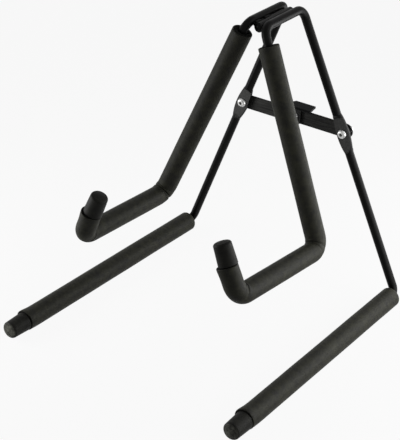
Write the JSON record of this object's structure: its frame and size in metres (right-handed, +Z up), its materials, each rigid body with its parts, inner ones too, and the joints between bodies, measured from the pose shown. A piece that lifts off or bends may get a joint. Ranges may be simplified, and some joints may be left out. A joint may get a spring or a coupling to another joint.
{
  "type": "folding ukulele stand",
  "caption": "Folding A-frame ukulele stand: bent steel side frames hinged along the top, foam-sleeved cradle arms and feet, and a folding brace that locks the frames open.",
  "frame": {"origin": "on the floor, under the middle of the stand's box", "axes": "+X to the right across the two side frames, +Y to the back, +Z up"},
  "size_m": [0.278, 0.2958, 0.2939],
  "materials": {
    "satin_black_paint": "satin black paint on steel",
    "black_foam": "matte closed-cell foam, fine grain",
    "black_rubber": "smooth moulded rubber, low sheen",
    "bright_zinc": "bright zinc plate",
    "black_nylon": "plain moulded nylon"
  },
  "bodies": {
    "left_frame": {"left_frame_rod": "satin_black_paint", "left_arm_foam": "black_foam", "left_foot_foam": "black_foam", "left_tip_cap": "black_rubber", "left_foot_cap": "black_rubber", "left_hinge_leaf": "satin_black_paint", "hinge_pin": "satin_black_paint", "left_pivot_screw": "bright_zinc", "left_pivot_nut": "bright_zinc", "left_pivot_spacer": "black_nylon"},
    "right_frame": {"right_frame_rod": "satin_black_paint", "right_arm_foam": "black_foam", "right_foot_foam": "black_foam", "right_tip_cap": "black_rubber", "right_foot_cap": "black_rubber", "right_hinge_leaf": "satin_black_paint", "right_pivot_screw": "bright_zinc"},
    "left_link": {"left_brace_link": "satin_black_paint", "centre_pivot_screw": "bright_zinc", "centre_pivot_nut": "bright_zinc", "centre_pivot_washer": "black_nylon"},
    "right_link": {"right_brace_link": "satin_black_paint", "right_pivot_nut": "bright_zinc", "right_pivot_spacer": "black_nylon"}
  },
  "joints": [
    {"name": "fold", "type": "hinge", "parent": "left_frame", "child": "right_frame", "pos_m": [0, 0.09193, 0.28571], "axis": [0, 1, 0], "range_deg": [0, 45.3]},
    {"name": "left_link_turn", "type": "hinge", "parent": "left_frame", "child": "left_link", "pos_m": [-0.0592, 0.1373, 0.17083], "axis": [0, -1, 0], "range_deg": [0, 57.23]},
    {"name": "brace_fold", "type": "hinge", "parent": "left_link", "child": "right_link", "pos_m": [0, 0.1373, 0.17083], "axis": [0, 1, 0], "range_deg": [0, 159.77]}
  ],
  "couplings": [
    {"joint": "left_link_turn", "follows": "fold", "ratio": 1.2634},
    {"joint": "brace_fold", "follows": "fold", "ratio": 3.5268}
  ]
}
